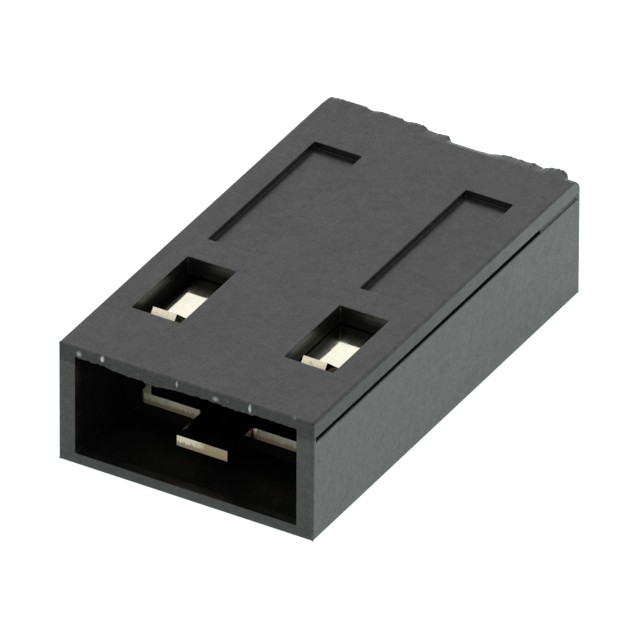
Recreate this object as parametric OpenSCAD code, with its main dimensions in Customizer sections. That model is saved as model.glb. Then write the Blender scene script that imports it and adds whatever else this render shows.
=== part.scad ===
// Jumper shunt: a moulded housing, open at one end, round one stamped contact that bridges two header pins.
// Millimetres. X runs across the pins, Y along them with the open mouth at -Y, and Z is up.
// The origin is the middle of the underside. Depths are measured from the mouth.

/* [Pins] */
// Distance between the two pins
pin_pitch = 2.54; // [2.4:0.01:2.7]
// Side of one square pin
pin_size = 0.64; // [0.58:0.01:0.7]
// Room between a pin and the side wall of the contact
pin_side_room = 0.1; // [0.05:0.01:0.15]

/* [Housing] */
// Gap left between two shunts on neighbouring pairs of pins
stack_gap = 0.25; // [0.1:0.01:0.35]
// Length from the mouth to the back
housing_l = 8.7; // [8.2:0.05:12]
// Height
housing_h = 2.29; // [2.2:0.01:2.5]
// Side wall at the mouth
side_wall = 0.32; // [0.2:0.01:0.4]
// Floor at the mouth
floor_wall = 0.22; // [0.15:0.01:0.35]
// Roof over the contact
roof_wall = 0.34; // [0.25:0.01:0.4]
// Roof at the lip of the mouth, thinned by the lead-in
lip_wall = 0.19; // [0.12:0.01:0.24]
// Length of the lead-in under the lip
lip_run = 0.3; // [0.15:0.05:0.45]
// Wall at the closed back
back_wall = 0.5; // [0.3:0.05:0.8]
// Depth of the wide mouth in front of the contact's chamber
mouth_depth = 1.6; // [1.4:0.05:1.7]
// Height of the seat that the contact lies on
seat_h = 0.62; // [0.5:0.01:0.65]
// Rounding of the two long top edges
top_round = 0.05; // [0.03:0.01:0.2]
// Rounding of the top edge at the back
back_round = 0.3; // [0.1:0.01:0.4]
// Rounding of the other outer edges
edge_round = 0.05; // [0.02:0.01:0.1]

/* [Windows, panels and parting groove] */
// Width of a window
window_w = 0.93; // [0.75:0.01:1]
// Length of a window
window_l = 1.79; // [1.2:0.01:2]
// Depth at which the windows start
window_front = 1.5; // [1.4:0.05:1.7]
// Width of a marking panel
panel_w = 0.9; // [0.6:0.01:1]
// Length of a marking panel
panel_l = 3.46; // [2:0.02:4]
// Depth of a marking panel below the top
panel_deep = 0.12; // [0.05:0.01:0.15]
// Roof left between a window and the panel behind it
panel_gap = 0.61; // [0.3:0.01:0.9]
// Distance from the top down to the middle of the parting groove
groove_drop = 0.36; // [0.28:0.01:0.45]
// Width of the parting groove
groove_w = 0.08; // [0.05:0.01:0.12]
// Depth of the parting groove
groove_deep = 0.1; // [0.04:0.01:0.12]
// Distance of the parting groove from the front and from the back
groove_end = 0.1; // [0.06:0.01:0.2]
// Length of the faint end of the parting groove at the back
faint_l = 1.2; // [0.6:0.05:2]
// Depth of the faint end of the parting groove
faint_deep = 0.03; // [0.02:0.01:0.04]

/* [Contact] */
// Thickness of the strip
strip_t = 0.2; // [0.15:0.01:0.22]
// Inside radius of the folds
bend_r = 0.04; // [0.03:0.01:0.1]
// Room between the contact and the housing
fit_room = 0.02; // [0.01:0.01:0.05]
// Depth of the front edge of the base
contact_front = 1.35; // [1.1:0.05:1.4]
// Distance from the front edge of the base back to the side walls
wall_setback = 0.4; // [0.2:0.05:0.5]
// Rounding of the front corners of the base and of the inner corners beside the tab
corner_r = 0.07; // [0.03:0.01:0.1]
// Width of the cut-off carrier tab at the front
tab_w = 0.96; // [0.6:0.02:1.2]
// Length of the cut-off carrier tab
tab_l = 0.82; // [0.3:0.02:1]
// Length of the folded-in top flanges
flange_l = 2.2; // [1.6:0.05:2.6]
// Width of a locking lance
lance_w = 0.45; // [0.3:0.01:0.55]
// Angle of a locking lance above its flange
lance_angle = 40; // [30:1:50]
// Distance of a lance's tip below the top of the housing
lance_below = 0.04; // [0.02:0.01:0.1]
// Room between a lance and the front edge of its window
lance_gap = 0.12; // [0.04:0.01:0.15]
// Width of the slit that frees a lance from its flange
lance_slit = 0.03; // [0.02:0.01:0.06]
// Width of a spring
spring_w = 0.56; // [0.4:0.01:0.6]
// Slope of a spring down to its crest
spring_angle = 11; // [9:0.5:16]
// How far a pin pushes its spring up
spring_squeeze = 0.1; // [0.05:0.01:0.15]
// Inside radius of the crest of a spring
crest_r = 0.15; // [0.1:0.01:0.25]
// Angle of the turned-up end of a spring
flare_angle = 20; // [10:1:30]
// Length of the turned-up end of a spring
flare_l = 0.35; // [0.2:0.05:0.5]

/* [Hidden] */
$fn = 64;
// Overshoot of a cut past the face that it opens
cut = 0.1;

housing_w = 2 * pin_pitch - stack_gap;
mouth_y = -housing_l / 2;
roof_z = housing_h - roof_wall;

// Contact: half widths inside and outside its walls, and its levels
inner_half = (pin_pitch + pin_size) / 2 + pin_side_room;
outer_half = inner_half + strip_t;
contact_top = roof_z - fit_room;
flange_z = contact_top - strip_t;
contact_l = housing_l - back_wall - fit_room - contact_front;

// Chamber that takes the contact, and the windows along its outer walls
chamber_half = outer_half + fit_room;
window_x = chamber_half - window_w / 2;
panel_front = window_front + window_l + panel_gap;

// Lance: straight length that brings its tip to its height, and the depth of its root behind the window's edge
lance_x = inner_half - bend_r - lance_w / 2;
lance_rise = housing_h - lance_below - contact_top;
lance_l = (lance_rise - bend_r * (1 - cos(lance_angle))) / sin(lance_angle);
lance_run = (bend_r + strip_t) * sin(lance_angle) + lance_l * cos(lance_angle);
flange_front = window_front + lance_gap + lance_run;

// Spring: straight length that brings its crest a squeeze below the top of the pin
crest_z = seat_h + strip_t + pin_size - spring_squeeze;
bend_stack = bend_r + strip_t + crest_r;
spring_drop = flange_z - bend_r + bend_stack * cos(spring_angle) - crest_z - strip_t - crest_r;
spring_l = spring_drop / sin(spring_angle);
// The flange covers its spring and reaches past it towards the middle by half a strip
flange_w = inner_half - bend_r - (pin_pitch - spring_w - strip_t) / 2;

// A flat outline in X and Z, carried along Y from one depth over a length
module along_y(depth, length)
  translate([0, mouth_y + depth + length, 0])
    rotate([90, 0, 0])
      linear_extrude(length)
        children();

// A flat outline in Y and Z, carried along X over a width about x
module along_x(x, width)
  translate([x - width / 2, 0, 0])
    rotate([90, 0, 90])
      linear_extrude(width)
        children();

// A copy on each side of the middle
module both_sides()
  for (side = [0, 1])
    mirror([side, 0, 0])
      children();

// A box about x, from one depth over a length and from one height to another
module block(x, width, depth, length, low, high)
  translate([x - width / 2, mouth_y + depth, low])
    cube([width, length, high - low]);

// A rectangle about x = 0 that stands on y = 0, with its lower and upper corners rounded
module rounded_section(width, height, low_r, high_r) {
  translate([-width / 2, low_r])
    square([width, height - low_r - high_r]);
  for (corner = [[low_r, 0, low_r], [high_r, height - high_r, height - high_r]]) {
    radius = corner[0];
    translate([radius - width / 2, corner[1]])
      square([width - 2 * radius, radius]);
    for (side = [-1, 1])
      translate([side * (width / 2 - radius), corner[2]])
        circle(radius);
  }
}

// Part of a ring about the origin that starts straight below it and turns by an angle of up to 90 degrees
module ring_sector(inside, outside, angle) {
  far = 2 * outside;
  intersection() {
    difference() {
      circle(outside);
      circle(inside);
    }
    polygon([[0, 0], [0, -far], far * [sin(angle / 2), -cos(angle / 2)], far * [sin(angle), -cos(angle)]]);
  }
}

// A strip on edge that starts at the origin along +x. Each step is [length, turn, inside radius]:
// a straight stretch, then a fold, upwards where the turn is positive.
module formed_strip(steps, i = 0)
  if (i < len(steps)) {
    length = steps[i][0];
    turn = steps[i][1];
    radius = steps[i][2];
    square([length, strip_t]);
    if (turn > 0)
      translate([length, strip_t + radius]) {
        ring_sector(radius, radius + strip_t, turn);
        rotate(turn)
          translate([0, -strip_t - radius])
            formed_strip(steps, i + 1);
      }
    if (turn < 0)
      translate([length, -radius]) {
        mirror([0, 1])
          ring_sector(radius, radius + strip_t, -turn);
        rotate(turn)
          translate([0, radius])
            formed_strip(steps, i + 1);
      }
  }

// Housing

// The block with its edges rounded, as the overlap of its three outlines
module housing_block()
  intersection() {
    along_y(0, housing_l)
      rounded_section(housing_w, housing_h, edge_round, top_round);
    along_x(0, housing_w)
      rounded_section(housing_l, housing_h, edge_round, edge_round);
    linear_extrude(housing_h)
      translate([0, mouth_y])
        rounded_section(housing_w, housing_l, edge_round, edge_round);
  }

// The wide mouth, its lead-in under the lip, and the narrower chamber behind it
module mouth_and_chamber() {
  mouth_w = housing_w - 2 * side_wall;
  block(0, mouth_w, -cut, mouth_depth + cut, floor_wall, roof_z);
  block(0, 2 * chamber_half, mouth_depth - cut, housing_l - back_wall - mouth_depth + cut, seat_h, roof_z);
  lead_in = roof_wall - lip_wall;
  along_x(0, mouth_w)
    translate([mouth_y, roof_z])
      polygon([[-cut, -cut], [lip_run, -cut], [lip_run, 0], [0, lead_in], [-cut, lead_in]]);
}

// The parting groove along one long side, with its faint end at the back
module parting_groove() {
  faint_front = housing_l - groove_end - faint_l;
  for (stretch = [[groove_end, faint_front - groove_end, groove_deep], [faint_front, faint_l, faint_deep]])
    along_y(stretch[0], stretch[1])
      translate([housing_w / 2 - stretch[2], housing_h - groove_drop - groove_w / 2])
        square([stretch[2] + cut, groove_w]);
}

// What is left out of the block beyond the rounded top edge at the back
module back_edge()
  along_x(0, housing_w + 2 * cut)
    translate([housing_l / 2 - back_round, housing_h - back_round])
      difference() {
        square(back_round + cut);
        circle(back_round);
      }

module housing()
  color([0.13, 0.13, 0.13])
    difference() {
      housing_block();
      mouth_and_chamber();
      back_edge();
      both_sides() {
        block(window_x, window_w, window_front, window_l, roof_z - cut, housing_h + cut);
        block(window_x, panel_w, panel_front, panel_l, housing_h - panel_deep, housing_h + cut);
        parting_groove();
      }
    }

// Contact

// Half of the contact's section: base and side wall, and the folded-in flange where it has one
module contact_section(with_flange) {
  fold = strip_t + bend_r;
  wall = [contact_top - seat_h - 2 * fold, with_flange ? 90 : 0, bend_r];
  translate([0, seat_h])
    formed_strip([[inner_half - bend_r, 90, bend_r], wall, [flange_w, 0, 0]]);
}

// The front of the base with its corners rounded, and the carrier tab with the inner corners beside it filled
module base_front() {
  front_y = mouth_y + contact_front;
  translate([0, 0, seat_h])
    linear_extrude(strip_t) {
      translate([0, front_y])
        rounded_section(2 * (inner_half - bend_r), wall_setback + 4 * corner_r, corner_r, corner_r);
      translate([-tab_w / 2, front_y - tab_l])
        square([tab_w, tab_l + strip_t]);
      both_sides()
        translate([tab_w / 2, front_y - corner_r])
          difference() {
            square([corner_r, 2 * corner_r]);
            translate([corner_r, 0])
              circle(corner_r);
          }
    }
}

// The inner part of a flange, which runs forward beside its lance
module flange_ear() {
  inner = inner_half - bend_r - flange_w;
  outer = lance_x - lance_w / 2 - lance_slit;
  front = window_front + lance_gap;
  block((inner + outer) / 2, outer - inner, front, flange_front - front + strip_t, flange_z, contact_top);
}

// A lance, turned up from the front edge of its flange
module lance()
  along_x(lance_x, lance_w)
    translate([mouth_y + flange_front, flange_z])
      mirror([1, 0])
        translate([-strip_t, 0])
          formed_strip([[strip_t, lance_angle, bend_r], [lance_l, 0, 0]]);

// A spring, sloping down from the back edge of its flange to a crest on the pin, with its end turned up
module spring()
  along_x(pin_pitch / 2, spring_w)
    translate([mouth_y + flange_front + flange_l - strip_t, flange_z])
      formed_strip([
        [strip_t, -spring_angle, bend_r],
        [spring_l, spring_angle + flare_angle, crest_r],
        [flare_l, 0, 0]
      ]);

module contact()
  color([0.8, 0.77, 0.68])
    union() {
      base_front();
      both_sides() {
        along_y(contact_front + wall_setback, contact_l - wall_setback)
          contact_section(false);
        along_y(flange_front, flange_l)
          contact_section(true);
        flange_ear();
        lance();
        spring();
      }
    }

housing();
contact();
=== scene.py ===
"""Jumper shunt for two header pins: its finishes, its torn moulding edges and a plain studio stage."""
import math

import bpy
import numpy as np
from bpy.props import FloatProperty, FloatVectorProperty, IntProperty, PointerProperty
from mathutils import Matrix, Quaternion, Vector


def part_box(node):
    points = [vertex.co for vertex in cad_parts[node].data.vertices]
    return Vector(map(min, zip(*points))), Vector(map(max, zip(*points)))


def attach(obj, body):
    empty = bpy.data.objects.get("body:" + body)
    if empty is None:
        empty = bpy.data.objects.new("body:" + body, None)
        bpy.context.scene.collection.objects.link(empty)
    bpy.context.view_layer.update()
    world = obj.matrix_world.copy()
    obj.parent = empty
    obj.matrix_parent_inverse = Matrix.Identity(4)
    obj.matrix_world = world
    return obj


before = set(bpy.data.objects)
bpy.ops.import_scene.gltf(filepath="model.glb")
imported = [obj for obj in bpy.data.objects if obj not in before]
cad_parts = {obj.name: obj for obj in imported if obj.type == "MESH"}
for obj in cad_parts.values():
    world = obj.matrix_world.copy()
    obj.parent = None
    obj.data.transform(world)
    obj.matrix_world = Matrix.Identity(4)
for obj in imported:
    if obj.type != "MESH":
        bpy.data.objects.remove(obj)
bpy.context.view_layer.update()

bl_info = {
    "name": "Jumper Shunt",
    "version": (1, 0, 0),
    "blender": (4, 5, 0),
    "location": "3D View > Sidebar > Shunt",
    "description": "Finishes a jumper shunt for two header pins and sets it on a pale floor",
    "category": "Object",
}

MM = 0.001
HOUSING_LOW, HOUSING_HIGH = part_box("housing")
CONTACT_LOW, CONTACT_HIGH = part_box("contact")
# Distance from the top down to the parting groove, in millimetres
PARTING_DROP = 0.36
# Depths below the outside over which the walls of recesses, and then all faces, turn dull, in millimetres.
# The gloss lost there is painted shade
RECESS_DEPTHS = (0.04, 0.15)
DEEP_DEPTHS = (0.13, 0.22)
# Thickness of the contact's strip, in millimetres
STRIP = 0.2

# Share of the back rounding that the torn flash fills, at places across the part in millimetres
BACK_FILL = (
    (-2.405, 0.75), (-2.32, 1.0), (-2.00, 1.08), (-1.68, 1.05), (-1.60, 0.86), (-1.52, 0.9), (-1.36, 1.08),
    (-1.04, 1.05), (-0.88, 0.87), (-0.72, 1.08), (-0.56, 0.98), (-0.48, 0.72), (-0.32, 0.56), (-0.08, 0.72),
    (-0.02, 0.2), (0.06, -0.05), (0.50, -0.05), (0.64, 0.15), (0.72, 0.05), (0.90, 0.5), (1.10, 0.66),
    (1.44, 0.6), (1.54, 0.72), (1.72, 0.46), (1.84, 0.8), (2.00, 1.05), (2.10, 1.0), (2.17, 0.7),
    (2.22, 0.1), (2.405, -0.1))
# Burrs of the lip: place across the part, width, place down the lip, length, and share of the full height
LIP_BURRS = (
    (-2.01, 0.06, 0.23, 0.06, 0.55), (-1.57, 0.035, 0.19, 0.05, 1.0), (-0.90, 0.03, 0.24, 0.03, 0.3),
    (-0.16, 0.025, 0.20, 0.06, 0.6), (0.57, 0.08, 0.24, 0.05, 0.5), (0.80, 0.04, 0.22, 0.03, 0.3),
    (1.22, 0.03, 0.21, 0.07, 0.85), (2.05, 0.05, 0.13, 0.05, 0.35))
# How far the lower edge of the lip hangs down, at places across the part, all in millimetres
LIP_DROP = (
    (-2.09, 0.0), (-1.50, 0.01), (-1.20, 0.04), (-0.95, 0.05), (-0.60, 0.07), (-0.35, 0.06), (-0.15, 0.02),
    (0.50, 0.01), (0.90, 0.03), (1.10, 0.03), (1.40, 0.0), (2.09, 0.0))


class MouldingFinish(bpy.types.PropertyGroup):
    """Look of the black moulding."""

    colour: FloatVectorProperty(
        name="Colour", description="Colour of the plastic", subtype="COLOR",
        default=(0.0036, 0.0037, 0.0035), min=0, max=1)
    roughness: FloatProperty(
        name="Roughness", description="Satin of the plastic away from edges", subtype="FACTOR",
        default=0.3, min=0.05, max=1)
    grain_spacing: FloatProperty(
        name="Grain spacing", description="Distance between the grains of the mould's texture",
        unit="LENGTH", default=0.045 * MM, precision=6)
    grain_height: FloatProperty(
        name="Grain height", description="Height of the mould's texture", unit="LENGTH",
        default=0.0012 * MM, precision=6)
    sheen: FloatProperty(
        name="Sheen", description="Strength of the gloss on the plastic's moulded skin", subtype="FACTOR",
        default=0.65, min=0, max=1)
    # Flank sheen is painted light: extra gloss that makes the long sides brighter
    flank_sheen: FloatProperty(
        name="Flank sheen",
        description="Gain of the sheen on the long sides, which the opening mould polishes",
        default=1.17, min=0, max=2)
    # Upper sheen is painted shade: gloss taken away from the upright faces above the parting groove, most at
    # the mouth's lip
    upper_sheen: FloatProperty(
        name="Upper sheen",
        description="Share of the sheen that is left at the mouth above the parting groove",
        subtype="FACTOR", default=0.68, min=0, max=1)
    # Recess and deep sheen are painted shade: gloss taken away on the walls of windows and panels, and deep
    # in the mouth and windows
    recess_sheen: FloatProperty(
        name="Recess sheen",
        description="Share of the sheen that is left on the walls of windows and panels",
        subtype="FACTOR", default=0.33, min=0, max=1)
    deep_sheen: FloatProperty(
        name="Deep sheen",
        description="Share of the sheen that is left deep in the mouth and the windows",
        subtype="FACTOR", default=0.14, min=0, max=1)
    edge_round: FloatProperty(
        name="Edge rounding", description="Rounding of the edges of windows, panels and mouth",
        unit="LENGTH", default=0.022 * MM, precision=6)
    wear_width: FloatProperty(
        name="Wear width", description="Width of the paler wear along the outer edges", unit="LENGTH",
        default=0.16 * MM, precision=6)


class TornEdges(bpy.types.PropertyGroup):
    """Torn flash along the back edge and the lip of the mouth."""

    back_round: FloatProperty(
        name="Back rounding", description="Rounding of the back edge that the flash stands on",
        unit="LENGTH", default=0.3 * MM, precision=6)
    back_fill: FloatProperty(
        name="Back flash fill", description="How far the flash fills the rounding up to a sharp corner",
        default=1.0, min=0, max=1.2)
    lip_height: FloatProperty(
        name="Lip burr height", description="How far the burrs stand out from the lip of the mouth",
        unit="LENGTH", default=0.03 * MM, precision=6)
    edge_round: FloatProperty(
        name="Edge rounding", description="Rounding of the housing's other outer edges", unit="LENGTH",
        default=0.05 * MM, precision=6)
    lip_wall: FloatProperty(
        name="Lip height", description="Height of the front face of the lip", unit="LENGTH",
        default=0.19 * MM, precision=6)
    lip_half: FloatProperty(
        name="Half lip width", description="Half the width of the mouth", unit="LENGTH",
        default=2.085 * MM, precision=6)
    # On the lip's burrs the torn colour is both whitened plastic and a painted glint
    torn_colour: FloatVectorProperty(
        name="Torn colour", description="Colour where the plastic is torn and whitened", subtype="COLOR",
        default=(0.42, 0.42, 0.39), min=0, max=1)
    seed: IntProperty(
        name="Seed", description="Start of the random shape of the torn edges", default=7, min=0)


class PlatingFinish(bpy.types.PropertyGroup):
    """Look of the plated contact."""

    plating_colour: FloatVectorProperty(
        name="Plating colour", description="Colour of the tin plating", subtype="COLOR",
        default=(0.75, 0.74, 0.61), min=0, max=1)
    sheared_colour: FloatVectorProperty(
        name="Sheared colour", description="Colour of the base metal at sheared edges", subtype="COLOR",
        default=(0.64, 0.59, 0.455), min=0, max=1)
    torn_colour: FloatVectorProperty(
        name="Torn colour", description="Colour of the lower half of sheared edges", subtype="COLOR",
        default=(0.26, 0.19, 0.11), min=0, max=1)
    roughness: FloatProperty(
        name="Roughness", description="Roughness of the plating", subtype="FACTOR",
        default=0.07, min=0.03, max=1)
    line_spacing: FloatProperty(
        name="Rolling lines", description="Distance between the rolling lines of the strip", unit="LENGTH",
        default=0.02 * MM, precision=6)
    edge_round: FloatProperty(
        name="Edge rounding", description="Rounding that stamping leaves on the edges", unit="LENGTH",
        default=0.014 * MM, precision=6)


class Studio(bpy.types.PropertyGroup):
    """Floor, light and camera."""

    floor_colour: FloatVectorProperty(
        name="Floor colour", description="Colour of the pale floor", subtype="COLOR",
        default=(0.38, 0.416, 0.406), min=0, max=1)
    floor_glow: FloatProperty(
        name="Floor glow", description="Light that the floor gives off, as a lit table does",
        default=0.89, min=0)
    horizon_colour: FloatVectorProperty(
        name="Backdrop colour", description="Colour seen past the edge of the floor", subtype="COLOR",
        default=(0.98, 0.98, 0.975), min=0, max=1)
    tent_strength: FloatProperty(
        name="Tent light", description="Even light from all round", default=1.2, min=0)
    key_strength: FloatProperty(
        name="Key light", description="Brightness of the soft light above the back left",
        default=0.05, min=0)
    side_strength: FloatProperty(
        name="Side light", description="Brightness of the soft light on the right", default=0.05, min=0)
    azimuth: FloatProperty(
        name="Camera azimuth", description="Angle of the camera round the part, from the mouth",
        subtype="ANGLE", default=math.radians(30.308))
    elevation: FloatProperty(
        name="Camera elevation", description="Angle of the camera above the floor", subtype="ANGLE",
        default=math.radians(33.028))
    roll: FloatProperty(
        name="Camera roll", description="Turn of the camera about its line of sight", subtype="ANGLE",
        default=math.radians(0.2645))
    distance: FloatProperty(
        name="Camera distance", description="Distance from the camera to the part", unit="LENGTH",
        default=0.3794)
    lens: FloatProperty(
        name="Lens", description="Focal length on a 36 mm sensor", subtype="DISTANCE_CAMERA",
        default=1300)
    framing: FloatVectorProperty(
        name="Framing", description="Place of the part's middle, right of and above the picture's middle",
        size=2, subtype="TRANSLATION", unit="LENGTH", default=(0.0129 * MM, 0.0535 * MM), precision=6)


class ShuntSettings(bpy.types.PropertyGroup):
    """All values of the part that a user would change."""

    moulding: PointerProperty(
        type=MouldingFinish, name="Moulding", description="Look of the black moulding")
    torn: PointerProperty(
        type=TornEdges, name="Torn edges", description="Flash and burrs of the moulding")
    plating: PointerProperty(
        type=PlatingFinish, name="Plating", description="Look of the plated contact")
    studio: PointerProperty(
        type=Studio, name="Studio", description="Floor, light and camera")


def plug(tree, socket, value):
    """Links a socket to another one, or sets its own value."""
    if isinstance(value, bpy.types.NodeSocket):
        tree.links.new(value, socket)
    else:
        socket.default_value = value


def add(tree, kind, inputs=(), **settings):
    """Adds a node with its settings. Each input is a socket's name or number with a value or a link."""
    made = tree.nodes.new(kind)
    for key, value in settings.items():
        setattr(made, key, value)
    for socket, value in inputs:
        plug(tree, made.inputs[socket], value)
    return made


def maths(tree, operation, *values, clamp=False):
    """One step of arithmetic on values or links."""
    return add(tree, "ShaderNodeMath", enumerate(values), operation=operation, use_clamp=clamp).outputs[0]


def product(tree, first, *others):
    """Values or links multiplied together."""
    for other in others:
        first = maths(tree, "MULTIPLY", first, other)
    return first


def grown(tree, base, mask, amount):
    """A value that grows by an amount where a mask is full."""
    return maths(tree, "MULTIPLY_ADD", mask, amount, base)


def blend(tree, factor, first, second):
    """A colour between two, by a factor."""
    made = add(tree, "ShaderNodeMix", data_type="RGBA")
    sockets = {socket.identifier: socket for socket in made.inputs}
    for name, value in (("Factor_Float", factor), ("A_Color", first), ("B_Color", second)):
        plug(tree, sockets[name], value)
    return next(socket for socket in made.outputs if socket.identifier == "Result_Color")


def shaded(tree, colour, factor):
    """A colour made lighter or darker by a factor."""
    return add(tree, "ShaderNodeVectorMath", ((0, colour), ("Scale", factor)), operation="SCALE").outputs[0]


def ramp(tree, value, low, high, to_low=0.0, to_high=1.0):
    """A value carried smoothly from one range to another, and held at both ends."""
    made = add(tree, "ShaderNodeMapRange", interpolation_type="SMOOTHSTEP", clamp=True, inputs=(
        ("Value", value), ("From Min", low), ("From Max", high), ("To Min", to_low), ("To Max", to_high)))
    return made.outputs["Result"]


def axes(tree, vector):
    """The parts of a vector along X, Y and Z."""
    return add(tree, "ShaderNodeSeparateXYZ", (("Vector", vector),)).outputs


def facing(tree, names):
    """How far a face looks along each of the named axes, either way, from 0 to 1."""
    normal = axes(tree, add(tree, "ShaderNodeNewGeometry").outputs["True Normal"])
    return [maths(tree, "ABSOLUTE", normal[name]) for name in names]


def relief(tree, height, distance, strength=1.0):
    """A surface normal that follows a height from 0 to 1 over a distance."""
    bump = add(tree, "ShaderNodeBump", (("Strength", strength), ("Distance", distance), ("Height", height)))
    return bump.outputs["Normal"]


def new_group(name, inputs, outputs):
    """An empty shader group with named sockets, and the nodes at its two ends."""
    group = bpy.data.node_groups.new(name, "ShaderNodeTree")
    for title, kind, value in inputs:
        socket = group.interface.new_socket(title, in_out="INPUT", socket_type=kind)
        if value is not None:
            socket.default_value = value
    for title, kind in outputs:
        group.interface.new_socket(title, in_out="OUTPUT", socket_type=kind)
    return group, group.nodes.new("NodeGroupInput").outputs, group.nodes.new("NodeGroupOutput").inputs


def mottling_group():
    """Cloudy change of tone: two sizes of noise, the finer a fifth of the coarser, added about zero."""
    found = bpy.data.node_groups.get("Mottling")
    if found:
        return found
    group, given, result = new_group(
        "Mottling",
        (("Vector", "NodeSocketVector", None), ("Spacing", "NodeSocketFloat", 0.5),
         ("Amount", "NodeSocketFloat", 0.1)),
        (("Factor", "NodeSocketFloat"), ("Mask", "NodeSocketFloat")))
    often = maths(group, "DIVIDE", 1.0, given["Spacing"])
    coarse = add(group, "ShaderNodeTexNoise", (
        ("Vector", given["Vector"]), ("Scale", often), ("Detail", 2.0), ("Roughness", 0.55)))
    fine = add(group, "ShaderNodeTexNoise", (
        ("Vector", given["Vector"]), ("Scale", product(group, often, 5.0)), ("Detail", 1.0)))
    both = maths(group, "ADD", coarse.outputs["Fac"], fine.outputs["Fac"])
    swing = maths(group, "SUBTRACT", both, 1.0)
    group.links.new(grown(group, 1.0, swing, given["Amount"]), result["Factor"])
    group.links.new(ramp(group, swing, -0.25, 0.25), result["Mask"])
    return group


def grain_group():
    """Fine relief: noise on stretched coordinates, rounded off at its peaks, as height from 0 to 1."""
    found = bpy.data.node_groups.get("Grain")
    if found:
        return found
    group, given, result = new_group(
        "Grain",
        (("Vector", "NodeSocketVector", None), ("Spacing", "NodeSocketFloat", 0.05),
         ("Stretch", "NodeSocketVector", (1.0, 1.0, 1.0))),
        (("Height", "NodeSocketFloat"), ("Pits", "NodeSocketFloat")))
    pulled = add(
        group, "ShaderNodeVectorMath", ((0, given["Vector"]), (1, given["Stretch"])), operation="DIVIDE")
    often = maths(group, "DIVIDE", 1.0, given["Spacing"])
    noise = add(group, "ShaderNodeTexNoise", (
        ("Vector", pulled.outputs[0]), ("Scale", often), ("Detail", 2.0), ("Roughness", 0.5)))
    group.links.new(ramp(group, noise.outputs["Fac"], 0.25, 0.75), result["Height"])
    group.links.new(ramp(group, noise.outputs["Fac"], 0.42, 0.3), result["Pits"])
    return group


def use_group(tree, group, place, **inputs):
    """Places a shader group in a material, at its coordinates and with its own values."""
    return add(tree, "ShaderNodeGroup", (("Vector", place), *inputs.items()), node_tree=group).outputs


def new_material(name):
    """A material with a Principled shader, and object coordinates in millimetres."""
    material = bpy.data.materials.new(name)
    material.use_nodes = True
    tree = material.node_tree
    tree.nodes.clear()
    shader = tree.nodes.new("ShaderNodeBsdfPrincipled")
    output = tree.nodes.new("ShaderNodeOutputMaterial")
    tree.links.new(shader.outputs["BSDF"], output.inputs["Surface"])
    place = tree.nodes.new("ShaderNodeTexCoord").outputs["Object"]
    scale = (1 / MM, 1 / MM, 1 / MM)
    place_mm = add(tree, "ShaderNodeMapping", (("Vector", place), ("Scale", scale))).outputs["Vector"]
    return material, tree, shader, place_mm


def feed(tree, shader, **inputs):
    """Links or sets sockets of the shader, named with underscores for spaces."""
    for name, value in inputs.items():
        plug(tree, shader.inputs[name.replace("_", " ")], value)


def box_distances(tree, place, low, high):
    """Distances in millimetres from the nearest outer edge of a box, and from its nearest side.

    On a face one of the three distances to the box's sides is nothing, so the sum of all three less the
    greatest is the distance to the nearest edge of that face. The least of the three is how far a point lies
    below the outside.
    """
    sides = []
    for part, near, far in zip(axes(tree, place), low, high):
        off = maths(tree, "ABSOLUTE", maths(tree, "SUBTRACT", part, (near + far) / 2 / MM))
        sides.append(maths(tree, "SUBTRACT", (far - near) / 2 / MM, off))
    total, greatest, least = (
        maths(tree, step, maths(tree, step, sides[0], sides[1]), sides[2])
        for step in ("ADD", "MAXIMUM", "MINIMUM"))
    return maths(tree, "SUBTRACT", total, greatest), least


def gloss_shares(tree, settings, place, below, deep):
    """Shares of the gloss that areas of the housing keep, in turn: the walls of recesses, all deep faces,
    the long sides, and the upright faces above the parting groove, which are dullest at the mouth. The cuts
    in recesses, deep faces and upper faces are painted shade; the gain on the long sides is painted light."""
    along, level = axes(tree, place)[1:]
    sideways, upwards = facing(tree, "XZ")
    upright = ramp(tree, upwards, 0.3, 0.7, 1.0, 0.0)
    parting = HOUSING_HIGH[2] / MM - PARTING_DROP
    # Painted shade on the upright faces above the groove, darkest towards the mouth
    above = ramp(tree, level, parting, parting + 0.05)
    mouthward = ramp(tree, along, HOUSING_LOW[1] / MM, HOUSING_HIGH[1] / MM, 1.0, 0.15)
    areas = (
        (product(tree, ramp(tree, below, *RECESS_DEPTHS), upright), settings.recess_sheen),
        (deep, settings.deep_sheen),
        (ramp(tree, sideways, 0.7, 0.95), settings.flank_sheen),
        (product(tree, above, mouthward, upright), settings.upper_sheen))
    return [ramp(tree, area, 0.0, 1.0, 1.0, share) for area, share in areas]


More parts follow.
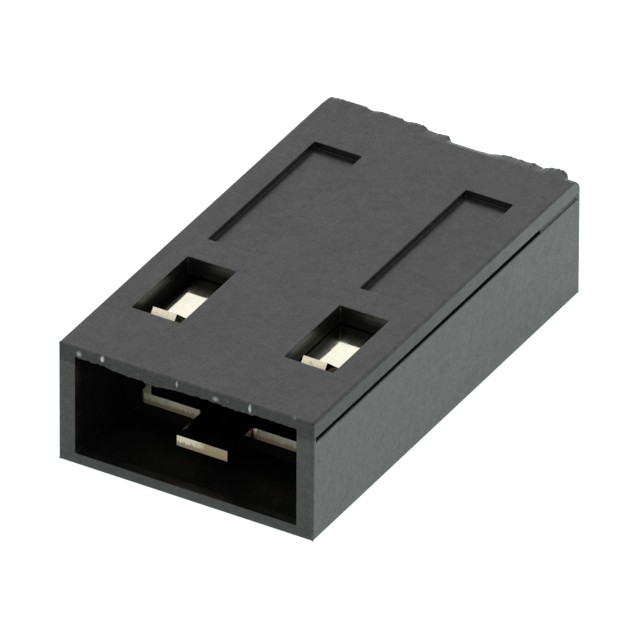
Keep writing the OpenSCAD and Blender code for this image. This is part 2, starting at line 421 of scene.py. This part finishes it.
def black_moulding(settings, name="Black moulding", whitened_and_glint=None):
    """Black glass-filled plastic with clouded and flecked gloss, pale fibres, fine grain and worn edges.
    Its gloss carries painted shade in recesses and at the mouth, and painted light on the long sides.
    """
    material, tree, shader, place = new_material(name)
    cloud = use_group(tree, mottling_group(), place, Spacing=1.1, Amount=0.22)
    fleck = use_group(tree, mottling_group(), place, Spacing=0.14, Amount=0.3)
    fibres = use_group(tree, grain_group(), place, Spacing=0.03, Stretch=(1.0, 9.0, 1.0))
    grain = use_group(tree, grain_group(), place, Spacing=settings.grain_spacing / MM)
    edge, below = box_distances(tree, place, HOUSING_LOW, HOUSING_HIGH)
    worn = product(tree, ramp(tree, edge, 0.0, settings.wear_width / MM, 1.0, 0.0), fleck["Mask"])
    # Deep faces grow rougher and, through the gloss shares, carry painted shade
    deep = ramp(tree, below, *DEEP_DEPTHS)
    tone = product(tree, cloud["Factor"], fleck["Factor"])
    pale = (*(min(1.0, 4.5 * part) for part in settings.colour), 1.0)
    colour = shaded(tree, settings.colour, tone)
    for mask, strength in ((fibres["Pits"], 0.5), (worn, 0.6)):
        colour = blend(tree, product(tree, mask, strength), colour, pale)
    roughness = settings.roughness - 0.05
    for mask, amount in ((cloud["Mask"], 0.1), (worn, 0.1), (deep, 0.15)):
        roughness = grown(tree, roughness, mask, amount)
    gloss = product(tree, tone, settings.sheen, ramp(tree, grain["Height"], 0.0, 1.0, 0.9, 1.1))
    for share in gloss_shares(tree, settings, place, below, deep):
        gloss = maths(tree, "MULTIPLY", gloss, share, clamp=True)
    # Torn, whitened plastic; on the lip's burrs this whitening is also a painted glint
    if whitened_and_glint:
        torn = add(tree, "ShaderNodeAttribute", attribute_name="torn").outputs["Fac"]
        colour = blend(tree, torn, colour, (*whitened_and_glint, 1.0))
        roughness = grown(tree, roughness, torn, 0.2)
    feed(tree, shader, Base_Color=colour, Roughness=roughness,
         Normal=relief(tree, grain["Height"], settings.grain_height),
         Specular_IOR_Level=0.02, Coat_Weight=gloss, Coat_Roughness=settings.roughness, Coat_IOR=1.7)
    return material


def tin_plating(settings):
    """Tin plating with rolling lines and dull clouds. Sheared edges show the base metal, burnished in
    their upper half and torn and dark in their lower half. The end of the carrier tab is also torn on its
    right, and so are the small rounds in the corners of the outline."""
    material, tree, shader, place = new_material("Tin plating")
    cloud = use_group(tree, mottling_group(), place, Spacing=0.45, Amount=0.16)
    lines = use_group(
        tree, grain_group(), place, Spacing=settings.line_spacing / MM, Stretch=(1.0, 14.0, 1.0))
    tears = use_group(tree, grain_group(), place, Spacing=0.035, Stretch=(1.0, 1.0, 4.0))
    across, along, level = axes(tree, place)
    sideways, endways, upwards = facing(tree, "XYZ")
    end_cut = ramp(tree, endways, 0.67, 0.75)
    upright = ramp(tree, upwards, 0.25, 0.4, 1.0, 0.0)
    wall = CONTACT_HIGH[0] / MM - STRIP
    inside = ramp(tree, maths(tree, "ABSOLUTE", across), wall - 0.04, wall - 0.01, 1.0, 0.0)
    cut = maths(tree, "MAXIMUM", end_cut, product(tree, upright, inside))
    front, bottom = CONTACT_LOW[1] / MM, CONTACT_LOW[2] / MM
    ragged_level = grown(tree, level, tears["Height"], 0.05)
    lower_half = ramp(tree, ragged_level, bottom + 0.08, bottom + 0.14, 1.0, 0.0)
    ragged_across = grown(tree, across, tears["Height"], 0.12)
    tab_end = ramp(tree, along, front + 0.02, front + 0.1, 1.0, 0.0)
    tab_tear = product(tree, tab_end, ramp(tree, ragged_across, -0.1, 0.14, 0.12, 0.95))
    corner = product(tree, ramp(tree, sideways, 0.15, 0.35), ramp(tree, endways, 0.15, 0.35))
    torn = product(tree, tears["Pits"], 0.5)
    for area in (lower_half, tab_tear, corner):
        torn = maths(tree, "MAXIMUM", torn, area)
    torn = product(tree, torn, cut)
    colour = shaded(tree, settings.plating_colour, cloud["Factor"])
    dull = tuple(0.62 * part for part in settings.plating_colour)
    layers = (
        (lines["Pits"], 0.35, dull), (cut, 0.85, settings.sheared_colour), (torn, 0.9, settings.torn_colour))
    for mask, strength, over in layers:
        colour = blend(tree, product(tree, mask, strength), colour, (*over, 1.0))
    roughness = settings.roughness - 0.02
    for mask, amount in ((cloud["Mask"], 0.05), (end_cut, 0.32), (torn, 0.1)):
        roughness = grown(tree, roughness, mask, amount)
    height = grown(tree, lines["Height"], product(tree, end_cut, tears["Height"]), 2.0)
    feed(tree, shader, Base_Color=colour, Metallic=1.0, Roughness=roughness,
         Normal=relief(tree, height, 0.00012 * MM))
    return material


def pale_floor(settings):
    """Matt pale board with a faint tooth."""
    material, tree, shader, place = new_material("Pale board")
    cloud = use_group(tree, mottling_group(), place, Spacing=40.0, Amount=0.02)
    tooth = use_group(tree, grain_group(), place, Spacing=0.4)
    colour = shaded(tree, settings.floor_colour, cloud["Factor"])
    feed(tree, shader, Base_Color=colour, Roughness=0.9, Specular_IOR_Level=0.1, Emission_Color=colour,
         Emission_Strength=settings.floor_glow / max(settings.floor_colour),
         Normal=relief(tree, tooth["Height"], 0.004 * MM, 0.3))
    return material


def soften_edges(piece, width):
    """Joins a solid's loose triangles and rounds its sharp edges, without touching its mesh."""
    join = piece.modifiers.new("Join", "WELD")
    join.merge_threshold = 0.0001 * MM
    rounding = piece.modifiers.new("Round edges", "BEVEL")
    rounding.width = width
    rounding.segments = 2
    rounding.limit_method = "ANGLE"
    rounding.angle_limit = math.radians(40)
    rounding.use_clamp_overlap = True
    rounding.harden_normals = True


def dress(piece, material):
    """Gives a piece one material in all its slots."""
    piece.data.materials.clear()
    piece.data.materials.append(material)


def new_object(name, data):
    """An object with its data, put into the scene at the origin."""
    made = bpy.data.objects.new(name, data)
    bpy.context.scene.collection.objects.link(made)
    return made


def new_piece(name, points, faces):
    """A piece at the origin with a mesh of points and faces."""
    mesh = bpy.data.meshes.new(name)
    mesh.from_pydata(points.reshape(-1, 3).tolist(), [], faces)
    return new_object(name, mesh)


def wandering(count, steps, rng):
    """Smooth random values from 0 to 1 along a line: random posts at even steps, joined by half waves."""
    posts = rng.random(steps + 2)
    at = np.linspace(0, steps, count)
    left = np.minimum(at.astype(int), steps)
    part = (1 - np.cos(np.pi * (at - left))) / 2
    return posts[left] * (1 - part) + posts[left + 1] * part


def skin_mesh(name, rings, torn):
    """Closed tube over rings of points, one ring per station, with a flat end on the first and the last.

    rings has one row of points per station, all rings counter-clockwise seen along +X, and torn holds one
    value per point for the whitening of the plastic.
    """
    stations, around = rings.shape[:2]
    number = np.arange(stations * around).reshape(stations, around)
    after = np.roll(number, -1, axis=1)
    quads = np.stack((number[:-1], number[1:], after[1:], after[:-1]), axis=-1).reshape(-1, 4)
    ends = [number[0].tolist(), number[-1][::-1].tolist()]
    piece = new_piece(name, rings, quads.tolist() + ends)
    mesh = piece.data
    mesh.attributes.new("torn", "FLOAT", "POINT").data.foreach_set("value", torn.astype(np.float32).ravel())
    smooth = np.ones(len(mesh.polygons), dtype=bool)
    smooth[-2:] = False
    mesh.polygons.foreach_set("use_smooth", smooth)
    mesh.update()
    return piece


class SHUNT_OT_finish_housing(bpy.types.Operator):
    """Gives the housing its black moulding and soft inner edges"""

    bl_idname = "shunt.finish_housing"
    bl_label = "Finish Housing"

    def execute(self, context):
        settings = context.scene.shunt.moulding
        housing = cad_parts["housing"]
        dress(housing, black_moulding(settings))
        soften_edges(housing, settings.edge_round)
        return {"FINISHED"}


class SHUNT_OT_finish_contact(bpy.types.Operator):
    """Gives the contact its plating and stamped edges"""

    bl_idname = "shunt.finish_contact"
    bl_label = "Finish Contact"

    def execute(self, context):
        settings = context.scene.shunt.plating
        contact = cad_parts["contact"]
        dress(contact, tin_plating(settings))
        soften_edges(contact, settings.edge_round)
        return {"FINISHED"}


class SHUNT_OT_tear_edges(bpy.types.Operator):
    """Adds the torn flash of the back edge and the burrs of the mouth's lip"""

    bl_idname = "shunt.tear_edges"
    bl_label = "Tear Edges"

    def execute(self, context):
        settings = context.scene.shunt
        plastic = black_moulding(settings.moulding, "Torn moulding", settings.torn.torn_colour)
        rng = np.random.default_rng(settings.torn.seed)
        for piece in (self.back_flash(settings.torn, rng), self.lip_burrs(settings.torn, rng)):
            dress(piece, plastic)
            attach(piece, "root")
        return {"FINISHED"}

    def back_flash(self, torn, rng):
        """A ridge along X over the rounded back edge. At the angle a of its section, its distance from the
        middle of the round is the radius times 1 + share * (1 / max(cos a, sin a) - 1). The share changes
        along X: none follows the round, and a full one fills the sharp corner. At both ends the section
        shrinks with the rounding of the housing's sides. It closes inside the wall."""
        # Sections along the ridge, points on each flat beside the arc, and points on the arc
        stations, lead, arc = 480, 3, 25
        # Steps of the random waves along the ridge: of its outline, twice, and of its white patches
        fine, coarse, patches = 130, 45, 110
        inset = 0.01 * MM
        radius, edge = torn.back_round, torn.edge_round
        x = np.linspace(HOUSING_LOW[0] + inset, HOUSING_HIGH[0] - inset, stations)
        share = np.interp(x / MM, *np.transpose(BACK_FILL))
        share = share + 0.1 * wandering(stations, fine, rng) + 0.08 * wandering(stations, coarse, rng) - 0.09
        share = torn.back_fill * share[:, None]
        past = np.clip(np.abs(x) - (HOUSING_HIGH[0] - edge), 0, None)
        side = (radius - edge + np.sqrt(edge ** 2 - past ** 2))[:, None]
        angle = np.radians(np.linspace(0, 90, arc))
        corner = 1 / np.maximum(np.cos(angle), np.sin(angle)) - 1
        base = np.interp(share, (0.3, 0.9), (0.985, 0.999))
        ridge = base + share * corner
        sunk = base - 0.02 * np.arange(lead, 0, -1)
        low = np.broadcast_to(-0.1 * np.arange(lead, 0, -1), sunk.shape)
        inner = np.broadcast_to((-0.3, 0.2, 0.6), sunk.shape)
        out = np.concatenate((sunk, ridge * np.cos(angle), low[:, ::-1], inner), axis=1)
        up = np.concatenate((low, ridge * np.sin(angle), sunk[:, ::-1], inner[:, ::-1]), axis=1)
        y = HOUSING_HIGH[1] - radius + side * out
        z = HOUSING_HIGH[2] - radius + side * up
        fresh = wandering(stations, patches, rng)[:, None] ** 4
        white = np.zeros_like(y)
        white[:, lead:lead + arc] = np.clip((ridge - 1.25) / 0.2, 0, 1) * 0.5 * fresh
        rings = np.stack((np.broadcast_to(x[:, None], y.shape), y, z), axis=-1)
        return skin_mesh("back_flash", rings[:, ::-1], white[:, ::-1])

    def lip_burrs(self, torn, rng):
        """A thin skin just under the lip's surface: over its top, round its front edge, down its front and
        under it. Each burr raises the skin along its normal by one bell curve across the part times one
        along the path, and the lower edge hangs by a slow ragged drop. It closes inside the lip."""
        # Sections along the lip, and points on the path of each
        stations, steps = 560, 30
        # Steps of the random waves along the lip: of its roughness, twice, and of its lower edge
        fine, patches, slow = 240, 40, 70
        sunk, thickness = 0.006 * MM, 0.03 * MM
        edge = torn.edge_round
        x = np.linspace(-torn.lip_half, torn.lip_half, stations)
        front, top, low = HOUSING_LOW[1], HOUSING_HIGH[2], HOUSING_HIGH[2] - torn.lip_wall
        corners = np.array((
            (front + 3 * edge, top), (front + edge, top), (front + 0.29 * edge, top - 0.29 * edge),
            (front, top - edge), (front, low), (front + 1.8 * edge, low - 0.9 * edge)))
        reach = np.concatenate(((0,), np.cumsum(np.linalg.norm(np.diff(corners, axis=0), axis=1))))
        run = np.linspace(0, reach[-1], steps)
        path = np.stack([np.interp(run, reach, part) for part in corners.T], axis=-1)
        slope = np.gradient(path, axis=0)
        normal = np.stack((slope[:, 1], -slope[:, 0]), axis=-1) / np.linalg.norm(slope, axis=1)[:, None]
        place, width, where, length, height = np.transpose(LIP_BURRS)[..., None, None]
        across = np.exp(-((x[:, None] / MM - place) / width) ** 2)
        down = np.exp(-((run / MM - where) / length) ** 2)
        burr = (height * across * down).max(axis=0)
        rough = 0.3 * (wandering(stations, fine, rng) * wandering(stations, patches, rng))[:, None]
        lift = torn.lip_height * (burr + rough * np.sin(np.pi * run / reach[-1])) - sunk
        hang = np.interp(x / MM, *np.transpose(LIP_DROP)) + 0.03 * (wandering(stations, slow, rng) - 0.4)
        below = np.interp(run, reach[3:6], (0, 1, 0.3))
        outer = path + lift[..., None] * normal
        outer[..., 1] -= np.clip(hang, 0, None)[:, None] * MM * below
        inner = np.broadcast_to((path - thickness * normal)[::-1], outer.shape)
        section = np.concatenate((outer, inner), axis=1)[:, ::-1]
        # The burrs' whitening is torn, whitened plastic and also a painted glint on the burrs
        white = np.clip(1.3 * burr - 0.25, 0, 1)
        white = np.concatenate((white, np.zeros_like(white)), axis=1)[:, ::-1]
        spread = np.broadcast_to(x[:, None, None], (*section.shape[:2], 1))
        return skin_mesh("lip_burrs", np.concatenate((spread, section), axis=-1), white)


class SHUNT_OT_set_stage(bpy.types.Operator):
    """Sets the pale floor, the soft lights and the camera"""

    bl_idname = "shunt.set_stage"
    bl_label = "Set Stage"

    def execute(self, context):
        settings = context.scene.shunt.studio
        self.lay_floor(settings)
        self.hang_lights(context, settings)
        self.place_camera(context, settings)
        context.scene.view_settings.view_transform = "Standard"
        return {"FINISHED"}

    def lay_floor(self, settings):
        """A square sheet at the height of the underside: even steps along X and Y."""
        reach, lines = 1.2, 9
        step = np.linspace(-reach, reach, lines)
        across, along = np.meshgrid(step, step, indexing="ij")
        points = np.stack((across, along, np.zeros_like(across)), axis=-1)
        number = np.arange(lines * lines).reshape(lines, lines)
        quads = np.stack((number[:-1, :-1], number[1:, :-1], number[1:, 1:], number[:-1, 1:]), axis=-1)
        floor = new_piece("floor", points, quads.reshape(-1, 4).tolist())
        dress(floor, pale_floor(settings))

    def hang_lights(self, context, settings):
        """An even tent of light, with soft panels that face the part. A panel's power is pi times its area
        times its brightness."""
        world = bpy.data.worlds.new("Light tent")
        world.use_nodes = True
        tree = world.node_tree
        tree.nodes.clear()
        tent, seen = (
            add(tree, "ShaderNodeBackground", (("Color", (*colour, 1)), ("Strength", strength))).outputs[0]
            for colour, strength in (((1, 1, 1), settings.tent_strength), (settings.horizon_colour, 1.0)))
        straight = add(tree, "ShaderNodeLightPath").outputs["Is Camera Ray"]
        mixed = add(tree, "ShaderNodeMixShader", ((0, straight), (1, tent), (2, seen)))
        add(tree, "ShaderNodeOutputWorld", (("Surface", mixed.outputs[0]),))
        context.scene.world = world
        away = 0.35
        panels = (
            ("Key panel", (-0.43, 0.72, 0.55), 0.26, settings.key_strength, (1.0, 1.0, 0.99)),
            ("Side panel", (0.62, 0.70, 0.22), 0.22, settings.side_strength, (0.95, 1.0, 0.985)),
        )
        for name, towards, side, strength, tint in panels:
            data = bpy.data.lights.new(name, "AREA")
            data.shape = "SQUARE"
            data.size = side
            data.energy = math.pi * side * side * strength
            data.color = tint
            light = new_object(name, data)
            direction = Vector(towards).normalized()
            light.location = direction * away
            light.rotation_mode = "QUATERNION"
            light.rotation_quaternion = direction.to_track_quat("Z", "Y")
            light.visible_camera = False

    def place_camera(self, context, settings):
        """The camera looks at the middle of the part along its azimuth and elevation, then turns by its roll
        and slides in its own plane by the framing."""
        azimuth, elevation = settings.azimuth, settings.elevation
        back = Vector((
            math.sin(azimuth) * math.cos(elevation), -math.cos(azimuth) * math.cos(elevation),
            math.sin(elevation)))
        turn = (-back).to_track_quat("-Z", "Y") @ Quaternion((0, 0, 1), settings.roll)
        data = bpy.data.cameras.new("Camera")
        data.lens = settings.lens
        data.sensor_width = 36
        data.clip_start = 0.01
        data.clip_end = 10
        camera = new_object("Camera", data)
        middle = (Vector(HOUSING_LOW) + Vector(HOUSING_HIGH)) / 2
        slide = turn @ Vector((-settings.framing[0], -settings.framing[1], 0))
        camera.location = middle + back * settings.distance + slide
        camera.rotation_mode = "QUATERNION"
        camera.rotation_quaternion = turn
        context.scene.camera = camera


OPERATORS = (SHUNT_OT_set_stage, SHUNT_OT_finish_housing, SHUNT_OT_finish_contact, SHUNT_OT_tear_edges)


class SHUNT_PT_sidebar(bpy.types.Panel):
    """Lists the steps and values of the part"""

    bl_label = "Jumper Shunt"
    bl_idname = "SHUNT_PT_sidebar"
    bl_space_type = "VIEW_3D"
    bl_region_type = "UI"
    bl_category = "Shunt"

    def draw(self, context):
        layout = self.layout
        for operator in OPERATORS:
            layout.operator(operator.bl_idname)
        settings = context.scene.shunt
        for part in settings.__annotations__:
            group = getattr(settings, part)
            box = layout.box()
            box.label(text=settings.bl_rna.properties[part].name)
            for name in group.__annotations__:
                box.prop(group, name)


CLASSES = (MouldingFinish, TornEdges, PlatingFinish, Studio, ShuntSettings, *OPERATORS, SHUNT_PT_sidebar)


def register():
    for item in CLASSES:
        bpy.utils.register_class(item)
    bpy.types.Scene.shunt = PointerProperty(type=ShuntSettings)


def unregister():
    del bpy.types.Scene.shunt
    for item in reversed(CLASSES):
        bpy.utils.unregister_class(item)


def main():
    register()
    bpy.ops.shunt.set_stage()
    bpy.ops.shunt.finish_housing()
    bpy.ops.shunt.finish_contact()
    bpy.ops.shunt.tear_edges()


if __name__ == "__main__":
    main()
